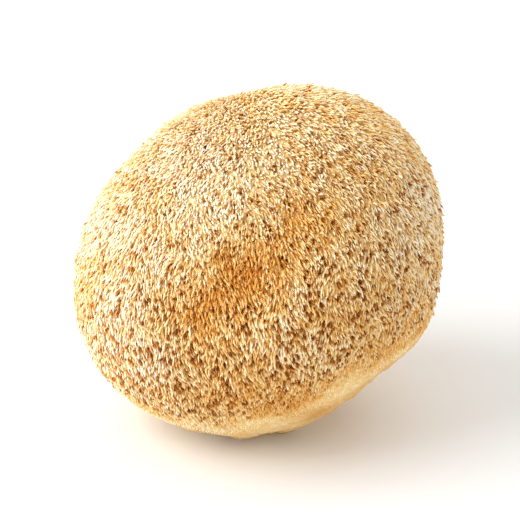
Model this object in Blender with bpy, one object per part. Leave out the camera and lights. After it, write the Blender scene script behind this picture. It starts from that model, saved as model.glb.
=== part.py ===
"""A dried lion's mane mushroom: one fruit body, a leaning ball coated in short spines.

The spines hang away from a crown and leave the belly bare. The stalk under the belly is cut off
flat, and the mushroom rests on that cut. Metres, +Z up, -Y is the front. The origin is at the
middle of the cut, straight below the middle of the ball.
"""
import math
import random

import bmesh
import bpy
from mathutils import Vector

# The ball, out to the tips of the spines
CENTRE_HEIGHT = 0.0390        # from the cut up to the middle of the ball
HALF_LENGTH = 0.0462          # along the long axis, which leans up to the right
HALF_THICKNESS = 0.0392       # square to the long axis, as near upright as that allows
HALF_DEPTH = 0.0415           # square to both, about front to back
LEAN_AZIMUTH = 17.0           # degrees, where the long axis points
LEAN_RISE = 31.0

# Swellings and flats of the ball: azimuth, elevation, spread (degrees), height (metres)
LOBES = (
    (-11, -22, 14, 0.0016),   # right cheek
    (4, 6, 16, -0.0010),      # flat above the cheek
    (35, 42, 18, 0.0005),     # right shoulder
    (98, 62, 14, -0.0012),    # flat behind the crown
    (160, 34, 15, -0.0008),   # flat at the upper left
    (-26, -42, 16, -0.0014),  # flat at the lower right
    (-110, 8, 12, -0.0014),   # lower end of a long shallow dent across the front
    (-96, 24, 12, -0.0018),   # middle of the dent
    (-78, 38, 12, -0.0013),   # upper end of the dent
    (-114, 50, 14, 0.0010),   # brow above the dent
    (-50, 12, 18, 0.0008),    # right of the dent
    (-140, 0, 16, 0.0006),    # left of the dent
    (96, 18, 18, -0.0015),    # hollow in the back
    (62, -8, 16, 0.0011),     # lump at the back, right
    (128, -14, 17, 0.0012),   # lump at the back, left
    (110, -58, 20, -0.0016),  # belly, back
    (-165, -66, 18, -0.0026), # belly, left
)

# Stalk and belly
STALK_RADIUS = 0.0125         # of the cut
STALK_FLARE = 7.0             # degrees of the belly over which the stalk spreads into it
STALK_OVERHANG = 0.0020       # how far the stalk runs past the cut before it is cut off
FOLD_COUNT = 11               # folds of the bare skin that run out from the stalk
FOLD_HEIGHT = 0.0009
FOLD_REACH = 30.0             # degrees past the stalk's flare where the folds die out

# Coat of spines
SPINE_HEIGHT = 0.0038         # from the pits to the tips
SPINE_SWEEP = 0.0017          # how far a tip is combed away from the crown
SPINE_JITTER = 0.0003         # how uneven the tips are
MARGIN_MIDDLE = -29.0         # degrees of elevation where the coat starts, on average
MARGIN_SWING = 11.0           # it starts higher at the right and lower at the left
MARGIN_AZIMUTH = 10.0         # the side where it starts higher
MARGIN_BENDS = (              # azimuth, spread, rise of the margin, all in degrees
    (-38, 26, 3),             # bare skin shows higher at the right of the front
    (-105, 32, -8),           # the coat hangs lower at the front
    (70, 24, -5),             # and at the back
)
MARGIN_FADE = 14.0            # degrees over which the spines grow to full height
CROWN_AZIMUTH = 110.0         # the crown that the spines are combed away from
CROWN_ELEVATION = 62.0
CROWN_CALM = 30.0             # degrees round the crown over which the combing sets in

# Spread of the points over the ball
POINT_COUNT = 2010
POINT_JITTER = 0.007          # on the unit ball
STALK_RINGS = (0.55, 0.85, 1.0, 1.2, 1.5)   # parts of the angle from straight down to the cut's edge
RING_POINTS = 26
RING_CLEARANCE = 0.2          # from the last ring to the other points, in the same parts
COAT_START = 0.12             # least share of the full height that is worth a spine
SEED = 7

FRUIT_COLOUR = (0.71, 0.47, 0.20, 1.0)
FRUIT_ROUGHNESS = 0.85
SMOOTH_ANGLE = math.radians(35)

UP = Vector((0, 0, 1))
GOLDEN_ANGLE = math.pi * (3 - math.sqrt(5))
STALK_ANGLE = math.atan(STALK_RADIUS / CENTRE_HEIGHT)


def direction(azimuth, elevation):
    """Unit vector out of the middle of the ball, from angles in degrees."""
    a = math.radians(azimuth)
    e = math.radians(elevation)
    return Vector((math.cos(a) * math.cos(e), math.sin(a) * math.cos(e), math.sin(e)))


LONG_AXIS = direction(LEAN_AZIMUTH, LEAN_RISE)
THICK_AXIS = (UP - LONG_AXIS * LONG_AXIS.z).normalized()
DEEP_AXIS = LONG_AXIS.cross(THICK_AXIS)
CROWN = direction(CROWN_AZIMUTH, CROWN_ELEVATION)
LOBE_DIRECTIONS = [direction(azimuth, elevation) for azimuth, elevation, _, _ in LOBES]


def smooth_step(low, high, value):
    """0 below low, 1 above high, with a soft run between."""
    t = min(1.0, max(0.0, (value - low) / (high - low)))
    return t * t * (3 - 2 * t)


def ball_radius(way):
    """Distance from the middle to the tips of the spines, or to the bare skin."""
    long_part = way.dot(LONG_AXIS) / HALF_LENGTH
    thick_part = way.dot(THICK_AXIS) / HALF_THICKNESS
    deep_part = way.dot(DEEP_AXIS) / HALF_DEPTH
    radius = 1 / math.sqrt(long_part ** 2 + thick_part ** 2 + deep_part ** 2)
    for (_, _, spread, height), middle in zip(LOBES, LOBE_DIRECTIONS):
        radius += height * math.exp(-(math.degrees(way.angle(middle)) / spread) ** 2)
    return radius


def coat(way):
    """0 on the bare belly, 1 where the spines have their full height."""
    azimuth = math.degrees(math.atan2(way.y, way.x))
    elevation = math.degrees(math.asin(way.z))
    margin = MARGIN_MIDDLE + MARGIN_SWING * math.cos(math.radians(azimuth - MARGIN_AZIMUTH))
    for middle, spread, rise in MARGIN_BENDS:
        apart = (azimuth - middle + 180) % 360 - 180
        margin += rise * math.exp(-(apart / spread) ** 2)
    return smooth_step(margin, margin + MARGIN_FADE, elevation)


def skin(way):
    """Point of the bare skin, with the folds and the stalk that they run out from."""
    azimuth = math.atan2(way.y, way.x)
    off_stalk = math.degrees(way.angle(-UP) - STALK_ANGLE)
    folds = FOLD_HEIGHT * math.cos(FOLD_COUNT * azimuth) * (1 - smooth_step(0, FOLD_REACH, off_stalk))
    belly = ball_radius(way) + folds
    share = 1 - smooth_step(0, STALK_FLARE, off_stalk)
    if share == 0:
        return way * belly
    stalk = (CENTRE_HEIGHT + STALK_OVERHANG) / -way.z
    return way * (belly + (stalk - belly) * share)


def tip(way, jitter):
    """Tip of the spine that stands on this direction, combed away from the crown."""
    cover = coat(way)
    sweep = SPINE_SWEEP / HALF_DEPTH * smooth_step(0, CROWN_CALM, math.degrees(way.angle(CROWN)))
    comb = (way * way.dot(CROWN) - CROWN).normalized()
    swept = (way + comb * sweep * cover).normalized()
    return swept * (ball_radius(swept) + jitter * cover)


def pit(way):
    """Bottom of the gap between spines."""
    return way * (ball_radius(way) - SPINE_HEIGHT * coat(way))


def scatter():
    """Directions spread evenly over the ball, in rings round the stalk."""
    dice = random.Random(SEED)
    ways = []
    for index in range(POINT_COUNT):
        height = 1 - (2 * index + 1) / POINT_COUNT
        across = math.sqrt(1 - height * height)
        turn = index * GOLDEN_ANGLE
        way = Vector((across * math.cos(turn), across * math.sin(turn), height))
        way += Vector([dice.uniform(-POINT_JITTER, POINT_JITTER) for _ in range(3)])
        way.normalize()
        if way.angle(-UP) > (STALK_RINGS[-1] + RING_CLEARANCE) * STALK_ANGLE:
            ways.append(way)
    for ring, share in enumerate(STALK_RINGS):
        elevation = math.degrees(share * STALK_ANGLE) - 90
        for index in range(RING_POINTS):
            ways.append(direction((index + ring / 2) * 360 / RING_POINTS, elevation))
    ways.append(-UP)
    return ways


def raise_spines(bm, heads):
    """Put a pit in the middle of each face between spines, and join each pit to its neighbours."""
    between = [face for face in bm.faces if all(vert in heads for vert in face.verts)]
    pits = set(bmesh.ops.poke(bm, faces=between)["verts"])
    crests = []
    for edge in bm.edges:
        opposite = [vert for face in edge.link_faces for vert in face.verts if vert not in edge.verts]
        if edge.verts[0] in heads and edge.verts[1] in heads and all(vert in pits for vert in opposite):
            crests.append(edge)
    bmesh.ops.rotate_edges(bm, edges=crests)
    return pits


def build_mesh():
    """The whole fruit body as one closed mesh."""
    bm = bmesh.new()
    for way in scatter():
        bm.verts.new(way)
    bmesh.ops.convex_hull(bm, input=list(bm.verts))
    heads = {vert for vert in bm.verts if coat(vert.co) > COAT_START}
    pits = raise_spines(bm, heads)
    dice = random.Random(SEED + 1)
    for vert in bm.verts:
        way = vert.co.normalized()
        if vert in heads:
            place = tip(way, dice.uniform(-SPINE_JITTER, SPINE_JITTER))
        elif vert in pits:
            place = pit(way)
        else:
            place = skin(way)
        vert.co = place + UP * CENTRE_HEIGHT
    geometry = list(bm.verts) + list(bm.edges) + list(bm.faces)
    cut = bmesh.ops.bisect_plane(bm, geom=geometry, plane_co=(0, 0, 0), plane_no=(0, 0, -1), clear_outer=True)
    rim = [item for item in cut["geom_cut"] if isinstance(item, bmesh.types.BMEdge)]
    bmesh.ops.edgeloop_fill(bm, edges=rim)
    bmesh.ops.recalc_face_normals(bm, faces=bm.faces)
    mesh = bpy.data.meshes.new("fruit_body")
    bm.to_mesh(mesh)
    bm.free()
    return mesh


def fruit_material():
    """Dry matt flesh, pale gold."""
    material = bpy.data.materials.new("dried_flesh")
    material.use_nodes = True
    shader = material.node_tree.nodes["Principled BSDF"]
    shader.inputs["Base Color"].default_value = FRUIT_COLOUR
    shader.inputs["Roughness"].default_value = FRUIT_ROUGHNESS
    shader.inputs["Metallic"].default_value = 0.0
    return material


def main():
    for old in list(bpy.data.objects):
        bpy.data.objects.remove(old)
    collection = bpy.data.collections.new("lions_mane_mushroom")
    bpy.context.scene.collection.children.link(collection)
    mesh = build_mesh()
    mesh.materials.append(fruit_material())
    mesh.shade_smooth()
    mesh.set_sharp_from_angle(angle=SMOOTH_ANGLE)
    collection.objects.link(bpy.data.objects.new("fruit_body", mesh))


main()
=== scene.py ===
"""The looks of a dried lion's mane mushroom.

A skin, bare and wrinkled under the belly, felt over the rest, and many thousand fine spines that
stand in the felt, joined into a few meshes. They stand in for the plain solid of the same form.
Metres, +Z up, -Y is the front.
"""

import math

import bmesh
import bpy
import numpy as np
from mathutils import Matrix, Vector
from mathutils.geometry import delaunay_2d_cdt
from mathutils.kdtree import KDTree


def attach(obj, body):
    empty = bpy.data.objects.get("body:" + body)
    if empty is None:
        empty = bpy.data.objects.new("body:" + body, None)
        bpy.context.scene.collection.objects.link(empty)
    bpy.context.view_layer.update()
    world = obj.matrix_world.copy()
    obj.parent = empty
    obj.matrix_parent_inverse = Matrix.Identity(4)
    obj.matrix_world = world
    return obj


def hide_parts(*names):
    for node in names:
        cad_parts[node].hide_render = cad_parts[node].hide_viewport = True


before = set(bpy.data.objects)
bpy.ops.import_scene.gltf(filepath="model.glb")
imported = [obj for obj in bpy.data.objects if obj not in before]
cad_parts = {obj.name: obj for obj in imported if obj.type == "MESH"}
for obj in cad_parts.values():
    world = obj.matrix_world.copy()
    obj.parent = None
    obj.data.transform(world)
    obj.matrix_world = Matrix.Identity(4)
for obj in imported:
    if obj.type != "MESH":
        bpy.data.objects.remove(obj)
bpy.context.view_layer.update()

NODE = "fruit_body"

# The ball, as the solid has it, out to the tips of the spines
CENTRE_HEIGHT = 0.0390
HALF_LENGTH = 0.0462
HALF_THICKNESS = 0.0392
HALF_DEPTH = 0.0415
LEAN_AZIMUTH = 17.0
LEAN_RISE = 31.0
LOBES = (                     # azimuth, elevation, spread (degrees), height (metres)
    (-11, -22, 14, 0.0016),
    (4, 6, 16, -0.0010),
    (35, 42, 18, 0.0005),
    (98, 62, 14, -0.0012),
    (160, 34, 15, -0.0008),
    (-26, -42, 16, -0.0014),
    (-110, 8, 12, -0.0014),
    (-96, 24, 12, -0.0018),
    (-78, 38, 12, -0.0013),
    (-114, 50, 14, 0.0010),
    (-50, 12, 18, 0.0008),
    (-140, 0, 16, 0.0006),
    (96, 18, 18, -0.0015),
    (62, -8, 16, 0.0011),
    (128, -14, 17, 0.0012),
    (110, -58, 20, -0.0016),
    (-165, -66, 18, -0.0026),
)
STALK_RADIUS = 0.0125
STALK_FLARE = 7.0
STALK_OVERHANG = 0.0020

# Where the coat of spines starts, and how it is combed, degrees
MARGIN_MIDDLE = -29.0
MARGIN_SWING = 11.0
MARGIN_AZIMUTH = 10.0
MARGIN_BENDS = ((-38, 26, 3), (-105, 32, -8), (70, 24, -5))   # azimuth, spread, rise
MARGIN_FADE = 8.0             # above the edge, up to where the coat is whole
MARGIN_STUBBLE = 7.0          # how far below the edge the coat ends in stubble
CROWN_AZIMUTH = 110.0         # the crown that the spines are combed away from
CROWN_ELEVATION = 62.0
CROWN_CALM = 14.0             # round the crown, over which the combing sets in

# Random waves: length of their bumps (metres), height, seed
MARGIN_WAVES = ((0.011, 2.2, 33), (0.0035, 1.32, 34))          # degrees, of the coat's edge
PALE_WAVES = ((0.02, 0.12, 31), (0.006, 0.13, 32))             # of the paleness
NAP_WAVES = ((0.008, 0.0007, 22),)                             # metres sideways, of the tips
FELT_WAVES = ((0.0016, 0.00012, 41), (0.0008, 0.00012, 42))    # metres, of the felt
FOLD_WAVES = ((0.02, 0.25, 5),)                                # radians, by which fine folds wander
WRINKLE_WAVES = ((0.0045, 0.00020, 6), (0.0018, 0.00013, 7))   # metres, of the bare skin
WAVE_PARTS = 9                # waves that one kind of bumps is made of
WAVE_LENGTHS = (0.75, 1.5)    # of the length of the bumps, the shortest and longest of them

# Fine spines
SPINE_POINTS = 42000          # over the whole ball, before the belly is left bare
SPINE_SCATTER = 0.42          # how far they are off the lattice at random, of its step
SPINE_HEIGHT = 0.0008         # from the foot of the coat, just over the felt, up to the tips
SPINE_ROOT = 0.0004           # how far under the foot of the coat they start
SPINE_RADIUS = 0.00026
SPINE_SIZES = (0.78, 1.22)    # of the radius, the thinnest and thickest
SPINE_THIN = 0.7              # of the radius, where spines have no height
SPINE_SWEEP = 0.0019          # how far a tip is combed away from the crown
SWEEP_SHARES = (0.5, 1.15)    # of that, the least and most
SPINE_STRAY = 0.00032         # how far a tip is off at random, each way
SPINE_BEND = 0.00018          # how far a spine is bent at random, each way
SPINE_KNEE = 0.85             # of its height, up to where a spine bends over
KNEE_SHIFT = 0.3              # of the tip's shift, that of the knee
SPINE_LAYERS = 0.00026        # how far the lowest tips lie under the highest
LAYER_POWER = 1.5             # over 1, so that more tips lie high than low
LOW_SPINE_PAINTED_SHADE = 0.25            # painted shade: how much less pale the lowest spines are, under the higher ones
SPINE_TINT = 0.13             # how uneven their paleness is
SPINE_PROUD = 0.00021         # how uneven the tips are besides
SPINE_STRAYS = 0.24           # share of the spines that stand off the coat
SPINE_OFF = 0.00022           # by how much, on average
SPINE_OFF_MOST = 0.0008       # and at most
SHORT_AT_MARGIN = 0.60        # of the full height, near the edge of the coat
SHORT_REACH = 42.0            # degrees above the edge where spines have their full height
LEAST_COVER = 0.01            # of the coat, that is worth a spine
RIM_SHADE_POWER = 3                 # over 1, so that the painted shade of the rims fades only toward the tip
SIDES = 4
RINGS = (0.0, 0.55, 0.86)     # along a spine
RING_SIZES = (1.05, 0.95, 0.5)   # of its radius

# Pits: gaps in the coat, with painted shade in and round them
PIT_POINTS = 7500             # over the whole ball
PIT_SCATTER = 0.3             # how far they are off the lattice at random, of its step
PIT_REACH = 0.00053
PIT_AT_EDGE = 0.3             # of the reach, at the edge of the coat
PIT_COVER = (0.15, 0.6)       # of the coat, over which pits set in
PIT_CLEARANCE = 14.0          # degrees above the edge where pits have their full reach
PIT_LEAST = 0.72              # of the reach, the smallest
PIT_SPREAD = 0.4              # how much more the largest reach
PIT_AT_TOP = 0.89             # of the reach, at the top of the ball
PIT_BELOW = 0.18              # how much more they reach below
PIT_HEIGHTS = (0.5, -0.5)     # on the unit ball, between which the top and below meet
PIT_DEPTH = 0.0020
PIT_STRETCH = 0.8             # of their length, the width of the pits
PIT_SLOPE = (1.0, 0.2)        # of the reach, between which the felt sinks
PIT_BANK = 1.15               # of the reach, out to where the felt gets painted shade
PIT_SHADE_BOTTOM = 0.55             # of the reach, where the painted shade is deepest
PIT_RIM_SHADE_WIDTH = 0.00015             # width of the rim of painted shade on the spines round a pit
PIT_SHADE_REACHES = (0.0002, 0.00056)  # reach of the pits that get no painted shade yet, and of those that get the most
PIT_SHADE_LIT_SIDE = 0.62               # painted shade of pits off the shaded side, as a share of that on it
SHADED_SIDE_COSINES = (-0.2, 0.7)        # cosines from the shaded side, between which that changes
PIT_TURNS = 3                 # how often spines are pushed off their nearest pit

# Paleness of the coat: 0 is toasted orange, 1 is cream
PALE_MIDDLE = 0.78
# how much paler toward the key light: partly the coat's own cream, partly painted light
PALE_AND_LIT_SWING = 0.22
PALE_EDGE = 0.30              # how much paler the coat gets at its edge
PALE_COVER = (0.7, 0.1)       # of the coat, between which it does
PALE_CUT = 0.5                # of the cut and of the skin's top, where it doesn't show
PATCHES = (                   # azimuth, elevation, spread (degrees), change of the paleness
    (-110, 8, 12, -0.50),     # toasted along the dent in the front
    (-96, 24, 12, -0.55),
    (-78, 38, 11, -0.35),
    (-122, 50, 16, 0.30),     # cream on the brow: a painted highlight
    (-65, 22, 16, -0.12),     # right of the dent
    (-100, -18, 16, -0.23),   # low in the front
    (-65, -32, 20, -0.26),    # golden above the edge of the coat
    (-127, -9, 18, 0.22),     # cream left of the dent
    (60, 20, 20, -0.30),      # toasted at the back, right
    (120, 5, 18, -0.30),      # and left
    (170, -10, 14, -0.20),    # left side
    (-15, 25, 28, 0.22),      # cream on the right
)

SEED = 11
TINY = 1e-9                   # a distance far below what shows
UP = np.array([0.0, 0.0, 1.0])
MIDDLE = UP * CENTRE_HEIGHT   # of the ball
GOLDEN_ANGLE = math.pi * (3 - math.sqrt(5))
STALK_ANGLE = math.degrees(math.atan(STALK_RADIUS / CENTRE_HEIGHT))


# ---------------------------------------------------------------- form

def unit(vectors):
    return vectors / np.linalg.norm(vectors, axis=-1, keepdims=True)


def direction(azimuth, elevation):
    """Unit vectors out of the middle of the ball, from angles in degrees."""
    a = np.radians(azimuth)
    e = np.radians(elevation)
    return np.stack([np.cos(a) * np.cos(e), np.sin(a) * np.cos(e), np.sin(e)], axis=-1)


def smooth_step(low, high, value):
    """0 at low, 1 at high, with a soft run between; low may be the larger."""
    t = np.clip((value - low) / (high - low), 0.0, 1.0)
    return t * t * (3 - 2 * t)


def degrees_from(ways, axis):
    return np.degrees(np.arccos(np.clip(ways @ axis, -1.0, 1.0)))


LONG_AXIS = direction(LEAN_AZIMUTH, LEAN_RISE)
THICK_AXIS = unit(UP - LONG_AXIS * LONG_AXIS[2])
DEEP_AXIS = np.cross(LONG_AXIS, THICK_AXIS)
CROWN = direction(CROWN_AZIMUTH, CROWN_ELEVATION)
PALE_AND_LIT_SIDE = direction(-140.0, 40.0)   # toward the key light, where the coat is palest: partly its own cream, partly painted light
SHADED_SIDE = direction(-60.0, -25.0)   # away from the key light, where the pits get the most painted shade


def ball_radius(ways):
    """Distance from the middle to the tips of the spines, or to the bare skin."""
    parts = ((ways @ LONG_AXIS) / HALF_LENGTH) ** 2
    parts = parts + ((ways @ THICK_AXIS) / HALF_THICKNESS) ** 2
    parts = parts + ((ways @ DEEP_AXIS) / HALF_DEPTH) ** 2
    radius = 1 / np.sqrt(parts)
    for azimuth, elevation, spread, height in LOBES:
        off = degrees_from(ways, direction(azimuth, elevation))
        radius = radius + height * np.exp(-(off / spread) ** 2)
    return radius


def random_waves(points, kinds):
    """Smooth random bumps over space, each kind with its own length and height, up and down."""
    total = np.zeros(len(points))
    for length, height, seed in kinds:
        dice = np.random.default_rng(seed)
        ways = unit(dice.normal(size=(WAVE_PARTS, 3)))
        pitches = 2 * math.pi / (length * dice.uniform(*WAVE_LENGTHS, WAVE_PARTS))
        phases = dice.uniform(0, 2 * math.pi, WAVE_PARTS)
        parts = np.sin(points @ (ways * pitches[:, None]).T + phases)
        spread = math.sqrt(WAVE_PARTS / 2)   # of the sum of that many sines; twice that is rare
        total += height * parts.sum(axis=1) / spread / 2
    return total


def coat_margin(ways):
    """Degrees of elevation above the edge of the coat."""
    azimuth = np.degrees(np.arctan2(ways[:, 1], ways[:, 0]))
    elevation = np.degrees(np.arcsin(np.clip(ways[:, 2], -1, 1)))
    margin = MARGIN_MIDDLE + MARGIN_SWING * np.cos(np.radians(azimuth - MARGIN_AZIMUTH))
    for middle, spread, rise in MARGIN_BENDS:
        apart = (azimuth - middle + 180) % 360 - 180
        margin = margin + rise * np.exp(-(apart / spread) ** 2)
    return elevation - margin - random_waves(ways * HALF_DEPTH, MARGIN_WAVES)


def coat(ways):
    """0 on the bare belly, 1 where the coat is whole."""
    return smooth_step(-MARGIN_STUBBLE, MARGIN_FADE, coat_margin(ways))


def coat_height(ways):
    """From the foot of the coat up to the tips of its spines."""
    growth = smooth_step(0, SHORT_REACH, coat_margin(ways))
    return SPINE_HEIGHT * coat(ways) * (SHORT_AT_MARGIN + (1 - SHORT_AT_MARGIN) * growth)


def paleness(ways):
    """How pale the coat is, about 0 where it is toasted orange to 1 where it is cream; paler toward the
    key light and on the brow, partly with painted light.
    """
    pale = PALE_MIDDLE + PALE_AND_LIT_SWING * (ways @ PALE_AND_LIT_SIDE) + random_waves(ways * HALF_DEPTH, PALE_WAVES)
    for azimuth, elevation, spread, change in PATCHES:
        off = degrees_from(ways, direction(azimuth, elevation))
        pale = pale + change * np.exp(-(off / spread) ** 2)
    return pale + PALE_EDGE * smooth_step(*PALE_COVER, coat(ways))


def lattice(count, scatter, dice):
    """Directions spread evenly over the ball, each moved a little at random."""
    index = np.arange(count)
    height = 1 - (2 * index + 1) / count
    across = np.sqrt(1 - height * height)
    turn = index * GOLDEN_ANGLE
    ways = np.stack([across * np.cos(turn), across * np.sin(turn), height], axis=1)
    step = math.sqrt(4 * math.pi / count)
    return unit(ways + dice.uniform(-scatter, scatter, ways.shape) * step)


def combing(ways):
    """Unit vectors along the surface, away from the crown, and across that."""
    along = unit(ways * (ways @ CROWN)[:, None] - CROWN)
    return along, np.cross(ways, along)


# ---------------------------------------------------------------- pits

def pit_reaches(pits, dice):
    """How far each pit reaches: less at the edge of the coat and at the top, and uneven."""
    growth = smooth_step(*PIT_COVER, coat(pits)) + smooth_step(0, PIT_CLEARANCE, coat_margin(pits))
    from_edge = PIT_AT_EDGE + (1 - PIT_AT_EDGE) / 2 * growth
    uneven = PIT_LEAST + PIT_SPREAD * dice.uniform(0, 1, len(pits)) ** 2
    from_top = PIT_AT_TOP + PIT_BELOW * smooth_step(*PIT_HEIGHTS, pits[:, 2])
    return PIT_REACH * from_edge * uneven * from_top


def scatter_pits():
    """Directions of the pits, how far each reaches, and a tree to look them up."""
    dice = np.random.default_rng(SEED + 2)
    pits = lattice(PIT_POINTS, PIT_SCATTER, dice)
    tree = KDTree(PIT_POINTS)
    for index, pit in enumerate(pits):
        tree.insert(pit, index)
    tree.balance()
    return pits, pit_reaches(pits, dice), tree


def nearest_pit(ways, pits, reaches, tree):
    """Of each direction: the way off its nearest pit, how far that is and how far the pit reaches.

    Pits are longer along the nap than across it, so less counts along it.
    """
    along, across = combing(ways)
    nearest = [tree.find(way)[1] for way in ways]
    gap = (ways - pits[nearest]) * HALF_DEPTH
    run = (gap * along).sum(axis=1)
    side = (gap * across).sum(axis=1)
    off = along * run[:, None] + across * side[:, None]
    return off, np.hypot(run * PIT_STRETCH, side) + TINY, reaches[nearest]


def pit_shade(ways, reach):
    """Painted shade of the pits: more in wide pits, and more on the side away from the key light."""
    painted_shade = smooth_step(*SHADED_SIDE_COSINES, ways @ SHADED_SIDE)
    return smooth_step(*PIT_SHADE_REACHES, reach) * (PIT_SHADE_LIT_SIDE + (1 - PIT_SHADE_LIT_SIDE) * painted_shade)


def open_pits(ways, *pits):
    """The same directions pushed off the pits, and the painted shade that a pit's rim puts on each, 0 to
    1.
    """
    for _ in range(PIT_TURNS):
        off, far, reach = nearest_pit(ways, *pits)
        push = np.maximum(reach - far, 0) / far
        ways = unit(ways + off * push[:, None] / HALF_DEPTH)
    return ways, smooth_step(PIT_RIM_SHADE_WIDTH, 0, far - reach) * pit_shade(ways, reach)


# ---------------------------------------------------------------- meshes

def make_mesh(name, points, corners, sizes, attributes):
    """An object from points, the corners of all faces in one row, and how many each face takes."""
    mesh = bpy.data.meshes.new(name)
    mesh.vertices.add(len(points))
    mesh.vertices.foreach_set("co", points.astype(np.float32).ravel())
    mesh.loops.add(len(corners))
    mesh.loops.foreach_set("vertex_index", corners.astype(np.int32))
    mesh.polygons.add(len(sizes))
    mesh.polygons.foreach_set("loop_start", (np.cumsum(sizes) - sizes).astype(np.int32))
    mesh.update(calc_edges=True)
    for key, values in attributes.items():
        layer = mesh.attributes.new(key, "FLOAT", "POINT")
        layer.data.foreach_set("value", np.asarray(values, np.float32))
    mesh.shade_smooth()
    thing = bpy.data.objects.new(name, mesh)
    bpy.context.scene.collection.objects.link(thing)
    return thing


# ---------------------------------------------------------------- skin

SKIN_COLUMNS = 360
CUT_ROWS = 9
FLARE_ROWS = 16
BELLY_ROWS = 130
TOP_ROWS = 14
BELLY_END = 85.0              # degrees from straight down
TOP_END = 179.0
SKIN_SINK = 0.003             # how far the skin runs under the tips of the coat
SKIN_SPAN = 0.04              # radius of the ball that its waves are laid out on
FOLD_REACH = 30.0             # degrees past the stalk's edge where the folds die out
FOLD_COUNT = 11               # broad folds that run out from the stalk
FOLD_HEIGHT = 0.0008
FINE_FOLDS = ((23, 0.0004, 1.0), (41, 0.00025, 0.0))   # count, height (metres), turn (radians)
STALK_FOLDS = 0.6             # of their height, that of the folds on the stalk
LEAST_DOWN = 0.3              # flatter directions than this miss the stalk and the floor


def skin_angles():
    """Angles from straight down of the skin's rings of points, close together under the belly."""
    flare_end = STALK_ANGLE + STALK_FLARE
    flare = np.linspace(STALK_ANGLE, flare_end, FLARE_ROWS, endpoint=False)
    belly = np.linspace(flare_end, BELLY_END, BELLY_ROWS, endpoint=False)
    top = np.linspace(BELLY_END, TOP_END, TOP_ROWS)
    return np.concatenate([flare, belly, top])


def skin_points(ways):
    """The skin under the spines and over the belly, down to the edge of the cut."""
    cover = coat(ways)
    off_stalk = degrees_from(ways, -UP) - STALK_ANGLE
    azimuth = np.arctan2(ways[:, 1], ways[:, 0])
    wander = azimuth + random_waves(ways * SKIN_SPAN, FOLD_WAVES)
    folds = FOLD_HEIGHT * np.cos(FOLD_COUNT * azimuth)
    for count, height, turn in FINE_FOLDS:
        folds = folds + height * np.cos(count * wander + turn)
    wrinkles = random_waves(ways * SKIN_SPAN, WRINKLE_WAVES)
    belly = ball_radius(ways) - SKIN_SINK * cover + wrinkles * (1 - cover)
    belly = belly + folds * (1 - smooth_step(0, FOLD_REACH, off_stalk))
    down = np.maximum(-ways[:, 2], LEAST_DOWN)
    stalk = (CENTRE_HEIGHT + STALK_OVERHANG) / down + folds * STALK_FOLDS
    share = 1 - smooth_step(0, STALK_FLARE, off_stalk)
    radius = np.minimum(belly + (stalk - belly) * share, CENTRE_HEIGHT / down)
    return ways * radius[:, None] + MIDDLE


def skin_faces(rows, top):
    """Corners and sizes of the faces: bands between the rings, a fan in the cut and one on top."""
    columns = np.arange(SKIN_COLUMNS)
    after = (columns + 1) % SKIN_COLUMNS
    low = 1 + np.arange(rows - 1)[:, None] * SKIN_COLUMNS
    high = low + SKIN_COLUMNS
    bands = np.stack([low + columns, high + columns, high + after, low + after], axis=-1)
    last = 1 + (rows - 1) * SKIN_COLUMNS
    cut = np.stack([np.zeros_like(columns), 1 + columns, 1 + after], axis=-1)
    cap = np.stack([last + columns, np.full_like(columns, top), last + after], axis=-1)
    corners = np.concatenate([bands.ravel(), cut.ravel(), cap.ravel()])
    sizes = np.repeat([4, 3], [bands.size // 4, 2 * SKIN_COLUMNS])
    return corners, sizes


def build_skin():
    """Rings of points from the middle of the cut out to its edge, and from there up to the top."""
    angles = skin_angles()
    turns = np.arange(SKIN_COLUMNS) * 360.0 / SKIN_COLUMNS
    turn_grid, angle_grid = np.meshgrid(turns, angles)
    ways = direction(turn_grid.ravel(), angle_grid.ravel() - 90)
    side = skin_points(ways)
    shares = np.arange(1, CUT_ROWS + 1) / (CUT_ROWS + 1)
    cut = (side[:SKIN_COLUMNS] * shares[:, None, None]).reshape(-1, 3)
    cut[:, 2] = 0.0
    top = skin_points(direction(np.array([0.0]), np.array([90.0])))
    points = np.concatenate([np.zeros((1, 3)), cut, side, top])
    corners, sizes = skin_faces(CUT_ROWS + len(angles), len(points) - 1)
    flat = 1 + len(cut)
    attributes = {
        "cover": np.concatenate([np.zeros(flat), coat(ways), [1.0]]),
        "cut": np.concatenate([np.ones(flat), np.zeros(len(side) + 1)]),
        "tint": np.concatenate([np.full(flat, PALE_CUT), np.clip(paleness(ways), 0, 1), [PALE_CUT]]),
    }
    return make_mesh("skin", points, corners, sizes, attributes)


# ---------------------------------------------------------------- felt

FELT_POINTS = 38000           # over the whole ball
FELT_SCATTER = 0.3            # how far they are off the lattice at random, of its step
FELT_UNDER = 0.0001           # how far the felt lies under the foot of the coat
PIT_RINGS = ((0.0, 1), (0.9, 6))   # in every pit: part of its reach, points


def felt_ways(pits, reaches, tree):
    """Directions of the felt's points: rings in every pit and a lattice between the pits."""
    ground = lattice(FELT_POINTS, FELT_SCATTER, np.random.default_rng(SEED + 1))
    _, far, reach = nearest_pit(ground, pits, reaches, tree)
    ways = [ground[far > PIT_BANK * reach]]
    along, across = combing(pits)
    for part, count in PIT_RINGS:
        for index in range(count):
            turn = 2 * math.pi * index / count + part
            run = along * (math.cos(turn) / PIT_STRETCH) + across * math.sin(turn)
            ways.append(unit(pits + run * (part * reaches / HALF_DEPTH)[:, None]))
    ways = np.concatenate(ways)
    return ways[coat(ways) > 0]


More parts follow.
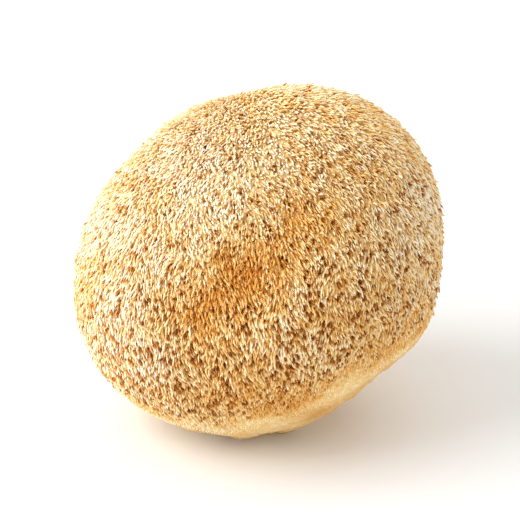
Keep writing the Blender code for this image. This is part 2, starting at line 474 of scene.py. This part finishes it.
def build_felt(pits):
    """The matted ground that the spines stand in, sunk in the pits between them, with painted shade in
    and round the pits.
    """
    ways = felt_ways(*pits)
    _, far, reach = nearest_pit(ways, *pits)
    cover = coat(ways)
    height = coat_height(ways)
    sunk = PIT_DEPTH * smooth_step(*PIT_SLOPE, far / reach) * reach / PIT_REACH
    rough = random_waves(ways * HALF_DEPTH, FELT_WAVES)
    radius = ball_radius(ways) - FELT_UNDER - height + (rough - sunk) * (height / SPINE_HEIGHT)
    # painted shade in and round the pits, on the felt
    painted_shade = smooth_step(PIT_BANK, PIT_SHADE_BOTTOM, far / reach) * pit_shade(ways, reach)
    painted_shade = painted_shade * smooth_step(*PIT_COVER, cover)
    flat = ways[:, :2] / (1 + ways[:, 2:3])   # the ball laid flat, seen from straight below
    result = delaunay_2d_cdt([Vector(place) for place in flat], [], [], 0, TINY)
    corners = np.array(result[2])
    order = np.array([first[0] for first in result[3]])
    points = (ways * radius[:, None] + MIDDLE)[order]
    attributes = {
        "cover": cover[order],
        "tint": np.clip(paleness(ways), 0, 1)[order],
        "pit": painted_shade[order],
    }
    return make_mesh("felt", points, corners.ravel(), np.full(len(corners), 3), attributes)


# ---------------------------------------------------------------- spines

CROWN_PIECE = 50.0            # degrees of elevation above which spines go into the top piece
SIDE_PIECES = ("right", "back_right", "back_left", "left", "front_left", "front_right")


def comb_tips(roots, share, along, across, dice):
    """How far each tip is shifted along the surface from above its root."""
    calm = smooth_step(0, CROWN_CALM, degrees_from(roots, CROWN))
    sweep = SPINE_SWEEP * calm * dice.uniform(*SWEEP_SHARES, len(roots))
    sweep = sweep + dice.normal(0, SPINE_STRAY, len(roots))
    drift = random_waves(roots * HALF_DEPTH, NAP_WAVES) + dice.normal(0, SPINE_STRAY, len(roots))
    return along * (sweep * share)[:, None] + across * (drift * share)[:, None]


def sink_tips(layer, dice):
    """How far each tip lies under the outline of the ball, or out of it where this is below 0."""
    stands_off = dice.uniform(0, 1, len(layer)) < SPINE_STRAYS
    off = np.minimum(stands_off * dice.exponential(SPINE_OFF, len(layer)), SPINE_OFF_MOST)
    return SPINE_LAYERS * layer ** LAYER_POWER + dice.normal(0, SPINE_PROUD, len(layer)) - off


def grow_spines(pits):
    """Of every spine: points along it, the painted shade of a pit's rim on each, its side, radius and
    paleness.
    """
    dice = np.random.default_rng(SEED)
    roots = lattice(SPINE_POINTS, SPINE_SCATTER, dice)
    roots, _ = open_pits(roots[coat(roots) > LEAST_COVER], *pits)
    count = len(roots)
    along, across = combing(roots)
    share = coat_height(roots) / SPINE_HEIGHT
    shift = comb_tips(roots, share, along, across, dice)
    tips = unit(roots + shift / HALF_DEPTH)
    layer = dice.uniform(0, 1, count)
    tip_radius = ball_radius(tips) - sink_tips(layer, dice) * share
    # the lowest spines are painted less pale, as shade under the higher ones
    pale = paleness(roots) - LOW_SPINE_PAINTED_SHADE * layer + dice.normal(0, SPINE_TINT, count)
    root_radius = ball_radius(roots) - coat_height(roots) - SPINE_ROOT
    knee_radius = root_radius + SPINE_KNEE * (tip_radius - root_radius)
    start = roots * root_radius[:, None]
    end = tips * tip_radius[:, None]
    knee = roots * knee_radius[:, None] + KNEE_SHIFT * shift
    for sideways in (across, along):
        knee = knee + sideways * (dice.normal(0, SPINE_BEND, count) * share)[:, None]
    thickness = (SPINE_THIN + (1 - SPINE_THIN) * share) * dice.uniform(*SPINE_SIZES, count)
    lines = []
    pit_rim_shades = []
    for step in (*RINGS, 1.0):
        point = (1 - step) ** 2 * start + 2 * step * (1 - step) * knee + step ** 2 * end
        far = np.linalg.norm(point, axis=1, keepdims=True)
        way, pit_rim_shade = open_pits(point / far, *pits)
        lines.append(way * far)
        pit_rim_shades.append(pit_rim_shade * (1 - step ** RIM_SHADE_POWER))
    return {
        "lines": np.stack(lines, axis=1),
        "pit_rim_shades": np.stack(pit_rim_shades, axis=1),
        "across": across,
        "radius": SPINE_RADIUS * thickness,
        "tint": np.clip(pale, 0, 1),
    }


def spine_points(lines, across, radius):
    """Points of all spines: by spine, the rings' points and then the tip."""
    points = []
    for index, swell in enumerate(RING_SIZES):
        run = unit(lines[:, index + 1] - lines[:, max(index - 1, 0)])
        first = unit(across - run * (across * run).sum(axis=1)[:, None])
        second = np.cross(run, first)
        for side in range(SIDES):
            turn = 2 * math.pi * side / SIDES
            out = first * math.cos(turn) + second * math.sin(turn)
            points.append(lines[:, index] + out * (radius * swell)[:, None])
    points.append(lines[:, -1])
    return np.stack(points, axis=1) + MIDDLE


def spine_faces():
    """Faces of one spine, by the numbers of its points: its foot, its sides and its pointed end."""
    faces = [tuple(range(SIDES - 1, -1, -1))]
    for ring in range(len(RINGS) - 1):
        for side in range(SIDES):
            a = ring * SIDES + side
            b = ring * SIDES + (side + 1) % SIDES
            faces.append((a, b, b + SIDES, a + SIDES))
    last = (len(RINGS) - 1) * SIDES
    for side in range(SIDES):
        faces.append((last + side, last + (side + 1) % SIDES, last + SIDES))
    return faces


def build_spines(name, spines):
    """One joined mesh of spines."""
    points = spine_points(spines["lines"], spines["across"], spines["radius"])
    count, each = points.shape[:2]
    faces = spine_faces()
    corners = np.array([corner for face in faces for corner in face])
    corners = (corners + each * np.arange(count)[:, None]).ravel()
    sizes = np.tile([len(face) for face in faces], count)
    repeats = [SIDES] * len(RINGS) + [1]
    attributes = {
        "along": np.tile(np.repeat((*RINGS, 1.0), repeats), count),
        # pit: painted shade of the pits' rims on the spine
        "pit": np.repeat(spines["pit_rim_shades"], repeats, axis=1).ravel(),
        "tint": np.repeat(spines["tint"], each),
    }
    return make_mesh(name, points.reshape(-1, 3), corners, sizes, attributes)


def spine_groups(lines):
    """The name of each piece that spines are joined into, and which spines it takes."""
    middle = lines.mean(axis=1)
    azimuth = np.degrees(np.arctan2(middle[:, 1], middle[:, 0]))
    crown = np.degrees(np.arcsin(unit(middle)[:, 2])) > CROWN_PIECE
    groups = [("spines_crown", crown)]
    width = 360 // len(SIDE_PIECES)
    for index, name in enumerate(SIDE_PIECES):
        inside = (azimuth + width / 2) % 360 // width == index
        groups.append(("spines_" + name, inside & ~crown))
    return groups


# ---------------------------------------------------------------- materials

BLACK = (0.0, 0.0, 0.0)
WHITE = (1.0, 1.0, 1.0)
TIP_STOPS = (                 # colour of a spine from toasted to cream
    (0.0, (0.66, 0.28, 0.05)),
    (0.30, (0.84, 0.50, 0.14)),
    (0.60, (0.94, 0.73, 0.37)),
    (0.85, (1.0, 0.91, 0.64)),
    (1.0, (1.0, 0.97, 0.87)),
)
ROOT_TONE_AND_SHADE_STOPS = (                # times this, from its root to its tip: deeper orange toward the root, partly its own colour and partly painted shade under the coat
    (0.0, (0.97, 0.70, 0.35)),
    (0.45, (0.99, 0.85, 0.60)),
    (0.8, (1.0, 0.95, 0.88)),
    (1.0, WHITE),
)
FELT_STOPS = (                # colour of the felt under the spines, from toasted to cream
    (0.2, (0.85, 0.40, 0.08)),
    (0.5, (0.86, 0.58, 0.22)),
    (1.0, (0.93, 0.75, 0.38)),
)
BARE_STOPS = (                # colour of the bare skin, in blotches
    (0.30, (0.66, 0.39, 0.13)),
    (0.48, (0.82, 0.56, 0.24)),
    (0.62, (0.89, 0.68, 0.36)),
)
STAIN_STOPS = ((0.52, BLACK), (0.68, (0.7, 0.7, 0.7)))      # share of the stains' colour
STAIN_COLOUR = (0.70, 0.34, 0.09)
SPECKLE_STOPS = ((0.35, (0.80, 0.72, 0.60)), (0.6, WHITE))  # times this, in fine speckles
CUT_STOPS = (                 # colour of the cut flesh
    (0.30, (0.62, 0.42, 0.20)),
    (0.48, (0.84, 0.68, 0.42)),
    (0.65, (0.92, 0.82, 0.60)),
)
RIM_SHADE_STOPS = ((0.0, BLACK), (0.5, WHITE))                    # share of a pit's rim colour, painted shade in the flesh's orange, toward it
DEEP_SHADE_STOPS = ((0.3, BLACK), (0.8, WHITE))                   # and of its own colour, the deepest painted shade
# painted shade in and round the pits, in the flesh's own orange-brown
PIT_RIM_SHADE_COLOUR = (0.68, 0.27, 0.020)
PIT_SHADE_COLOUR = (0.27, 0.060, 0.002)
BLOTCH_NOISE = (110.0, 6.0)   # scale (per metre), detail
STAIN_NOISE = (60.0, 5.0)
SPECKLE_NOISE = (1500.0, 3.0)
CUT_NOISE = (420.0, 6.0)
BUMP_NOISE = (700.0, 8.0)
BUMP_STRENGTH = 0.5
BUMP_DISTANCE = 0.0004
SKIN_FINISH = ((0.3, (0.62, 0.62, 0.62)), (0.7, (0.85, 0.85, 0.85)))   # roughness, by blotches
SKIN_SPECULAR = 0.15
SPINE_FINISH = 0.75           # roughness
SPINE_SPECULAR = 0.3
MIX_FIRST = 6                 # numbers of the colour sockets of a mix node
MIX_SECOND = 7
MIX_RESULT = 2


def new_material(name):
    """A material, its node tree and its shader."""
    material = bpy.data.materials.new(name)
    material.use_nodes = True
    return material, material.node_tree, material.node_tree.nodes["Principled BSDF"]


def attribute(tree, name):
    node = tree.nodes.new("ShaderNodeAttribute")
    node.attribute_name = name
    return node.outputs["Fac"]


def ramp(tree, value, stops):
    node = tree.nodes.new("ShaderNodeValToRGB")
    elements = node.color_ramp.elements
    while len(elements) > 1:
        elements.remove(elements[-1])
    elements[0].position = stops[0][0]
    elements[0].color = (*stops[0][1], 1)
    for place, colour in stops[1:]:
        elements.new(place).color = (*colour, 1)
    tree.links.new(value, node.inputs["Fac"])
    return node.outputs["Color"]


def noise(tree, scale, detail):
    coordinates = tree.nodes.new("ShaderNodeTexCoord")
    node = tree.nodes.new("ShaderNodeTexNoise")
    node.inputs["Scale"].default_value = scale
    node.inputs["Detail"].default_value = detail
    tree.links.new(coordinates.outputs["Object"], node.inputs["Vector"])
    return node.outputs["Fac"]


def mix(tree, share, first, second, blend="MIX"):
    """Two colours mixed; the share and each colour are a socket or a constant."""
    node = tree.nodes.new("ShaderNodeMix")
    node.data_type = "RGBA"
    node.blend_type = blend
    sockets = (node.inputs["Factor"], node.inputs[MIX_FIRST], node.inputs[MIX_SECOND])
    for socket, value in zip(sockets, (share, first, second)):
        if isinstance(value, tuple):
            socket.default_value = (*value, 1)
        elif isinstance(value, float):
            socket.default_value = value
        else:
            tree.links.new(value, socket)
    return node.outputs[MIX_RESULT]


def paint_pit_shade(tree, colour):
    """Painted shade of a pit, in the flesh's own orange-brown: from the colour round it through orange
    into the dark of the pit.
    """
    # pit: how much painted shade of a pit falls here
    pit = attribute(tree, "pit")
    colour = mix(tree, ramp(tree, pit, RIM_SHADE_STOPS), colour, PIT_RIM_SHADE_COLOUR)
    return mix(tree, ramp(tree, pit, DEEP_SHADE_STOPS), colour, PIT_SHADE_COLOUR)


def spine_material():
    material, tree, shader = new_material("spines")
    tip = ramp(tree, attribute(tree, "tint"), TIP_STOPS)
    root = ramp(tree, attribute(tree, "along"), ROOT_TONE_AND_SHADE_STOPS)
    colour = mix(tree, 1.0, tip, root, "MULTIPLY")
    tree.links.new(paint_pit_shade(tree, colour), shader.inputs["Base Color"])
    shader.inputs["Roughness"].default_value = SPINE_FINISH
    shader.inputs["Specular IOR Level"].default_value = SPINE_SPECULAR
    return material


def bare_colour(tree, blotches):
    """Pale blotched skin with toasted stains and fine speckles."""
    stains = ramp(tree, noise(tree, *STAIN_NOISE), STAIN_STOPS)
    bare = mix(tree, stains, ramp(tree, blotches, BARE_STOPS), STAIN_COLOUR)
    speckles = ramp(tree, noise(tree, *SPECKLE_NOISE), SPECKLE_STOPS)
    return mix(tree, 1.0, bare, speckles, "MULTIPLY")


def skin_material():
    """Of the skin and the felt: bare skin, cut flesh or felt, as the points say, with painted shade in
    the pits.
    """
    material, tree, shader = new_material("skin")
    blotches = noise(tree, *BLOTCH_NOISE)
    flesh = ramp(tree, noise(tree, *CUT_NOISE), CUT_STOPS)
    bare = mix(tree, attribute(tree, "cut"), bare_colour(tree, blotches), flesh)
    felt = ramp(tree, attribute(tree, "tint"), FELT_STOPS)
    colour = mix(tree, attribute(tree, "cover"), bare, felt)
    tree.links.new(paint_pit_shade(tree, colour), shader.inputs["Base Color"])
    tree.links.new(ramp(tree, blotches, SKIN_FINISH), shader.inputs["Roughness"])
    shader.inputs["Specular IOR Level"].default_value = SKIN_SPECULAR
    bump = tree.nodes.new("ShaderNodeBump")
    bump.inputs["Strength"].default_value = BUMP_STRENGTH
    bump.inputs["Distance"].default_value = BUMP_DISTANCE
    tree.links.new(noise(tree, *BUMP_NOISE), bump.inputs["Height"])
    tree.links.new(bump.outputs["Normal"], shader.inputs["Normal"])
    return material


# ---------------------------------------------------------------- stage

FLOOR_RADIUS = 1.4            # of its flat part; past that it curves up to hide the horizon
FLOOR_RISE = 0.9
FLOOR_STEPS = 12
FLOOR_SIDES = 96
FLOOR_COLOUR = (0.86, 0.86, 0.85, 1)
FLOOR_FINISH = 0.9            # roughness
GLOW = 0.38                   # of the rim, so that it is as white as the floor
GLOW_START = 0.5
GLOW_END = 1.6
WORLD_STRENGTH = 0.75
LIGHTS = (                    # name, place, size (metres), power (watts)
    ("key", (-0.85, -0.15, 0.65), 1.0, 13.5),
    ("back", (0.25, 0.85, 0.65), 1.2, 3.2),
)
CAMERA_AZIMUTH = -90.0        # straight in front, degrees
CAMERA_ELEVATION = 26.0
CAMERA_DISTANCE = 0.62
CAMERA_LENS = 180.0           # millimetres
CAMERA_SENSOR = 36.0


def floor_mesh():
    """A disc with a rim that curves up."""
    mesh = bpy.data.meshes.new("floor")
    bm = bmesh.new()
    turns = [2 * math.pi * side / FLOOR_SIDES for side in range(FLOOR_SIDES)]
    rings = []
    for step in range(FLOOR_STEPS + 1):
        slope = math.pi / 2 * step / FLOOR_STEPS
        radius = FLOOR_RADIUS + FLOOR_RISE * math.sin(slope)
        height = FLOOR_RISE * (1 - math.cos(slope))
        rings.append([bm.verts.new((radius * math.cos(a), radius * math.sin(a), height)) for a in turns])
    bm.faces.new(rings[0])
    for low, high in zip(rings, rings[1:]):
        for side in range(FLOOR_SIDES):
            after = (side + 1) % FLOOR_SIDES
            bm.faces.new((low[after], low[side], high[side], high[after]))
    bm.to_mesh(mesh)
    bm.free()
    mesh.shade_smooth()
    return mesh


def floor_material():
    """Plain and pale; it glows slightly more and more toward the rim."""
    material, tree, shader = new_material("floor")
    shader.inputs["Base Color"].default_value = FLOOR_COLOUR
    shader.inputs["Roughness"].default_value = FLOOR_FINISH
    shader.inputs["Emission Color"].default_value = (*WHITE, 1)
    coordinates = tree.nodes.new("ShaderNodeTexCoord")
    radius = tree.nodes.new("ShaderNodeVectorMath")
    radius.operation = "LENGTH"
    glow = tree.nodes.new("ShaderNodeMapRange")
    glow.inputs["From Min"].default_value = GLOW_START
    glow.inputs["From Max"].default_value = GLOW_END
    glow.inputs["To Max"].default_value = GLOW
    tree.links.new(coordinates.outputs["Object"], radius.inputs[0])
    tree.links.new(radius.outputs["Value"], glow.inputs["Value"])
    tree.links.new(glow.outputs["Result"], shader.inputs["Emission Strength"])
    return material


def build_stage():
    """A round floor with a rim that curves up, and a white world."""
    floor = bpy.data.objects.new("floor", floor_mesh())
    bpy.context.scene.collection.objects.link(floor)
    floor.data.materials.append(floor_material())
    world = bpy.data.worlds.new("studio")
    bpy.context.scene.world = world
    world.use_nodes = True
    background = world.node_tree.nodes["Background"]
    background.inputs["Color"].default_value = (*WHITE, 1)
    background.inputs["Strength"].default_value = WORLD_STRENGTH


def add_light(name, place, size, power):
    """A soft square light that is turned to the middle of the ball."""
    light = bpy.data.lights.new(name, "AREA")
    light.size = size
    light.energy = power
    thing = bpy.data.objects.new(name, light)
    bpy.context.scene.collection.objects.link(thing)
    thing.location = place
    way = MIDDLE - np.array(place)
    tilt = math.atan2(math.hypot(way[0], way[1]), -way[2])
    thing.rotation_euler = (tilt, 0, math.atan2(way[1], way[0]) - math.pi / 2)


def build_camera():
    """Turned to the middle of the ball from the photo's angle."""
    camera = bpy.data.cameras.new("camera")
    camera.lens = CAMERA_LENS
    camera.sensor_width = CAMERA_SENSOR
    thing = bpy.data.objects.new("camera", camera)
    bpy.context.scene.collection.objects.link(thing)
    thing.location = MIDDLE + direction(CAMERA_AZIMUTH, CAMERA_ELEVATION) * CAMERA_DISTANCE
    thing.rotation_euler = (math.radians(90 - CAMERA_ELEVATION), 0, math.radians(90 + CAMERA_AZIMUTH))
    bpy.context.scene.camera = thing


def main():
    pits = scatter_pits()
    skin = build_skin()
    felt = build_felt(pits)
    pieces = [skin, felt]
    ground = skin_material()
    for piece in pieces:
        piece.data.materials.append(ground)
    spines = grow_spines(pits)
    finish = spine_material()
    for name, chosen in spine_groups(spines["lines"]):
        piece = build_spines(name, {key: values[chosen] for key, values in spines.items()})
        piece.data.materials.append(finish)
        pieces.append(piece)
    for piece in pieces:
        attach(piece, "root")
    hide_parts(NODE)
    build_stage()
    for light in LIGHTS:
        add_light(*light)
    build_camera()
    bpy.context.scene.view_settings.view_transform = "Standard"


main()
